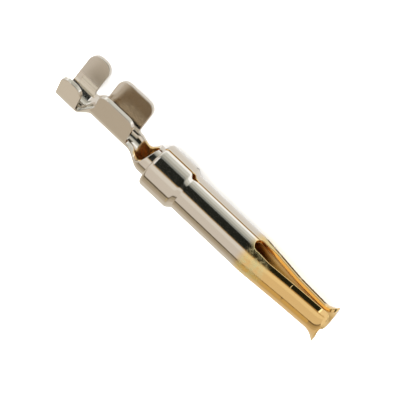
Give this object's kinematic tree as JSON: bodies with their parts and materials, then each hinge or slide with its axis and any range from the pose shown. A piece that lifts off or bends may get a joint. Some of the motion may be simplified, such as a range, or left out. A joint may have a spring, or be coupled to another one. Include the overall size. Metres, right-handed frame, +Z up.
{
  "type": "crimp socket contact",
  "caption": "Stamped crimp socket contact: a rolled tube with flared spring tines, a retention collar, and open wire and insulation barrels.",
  "frame": {"origin": "on the tube's axis, at the front edge of the collar's shoulder", "axes": "-X along the tube's axis and out of the mouth, -Y out of the open barrels, +Z up as the contact lies on its side"},
  "size_m": [0.0149, 0.0028, 0.0025],
  "materials": {
    "plated_strip": "bright nickel plate, with gold plate on the socket end"
  },
  "bodies": {
    "root": {"socket_contact": "plated_strip"}
  },
  "joints": []
}
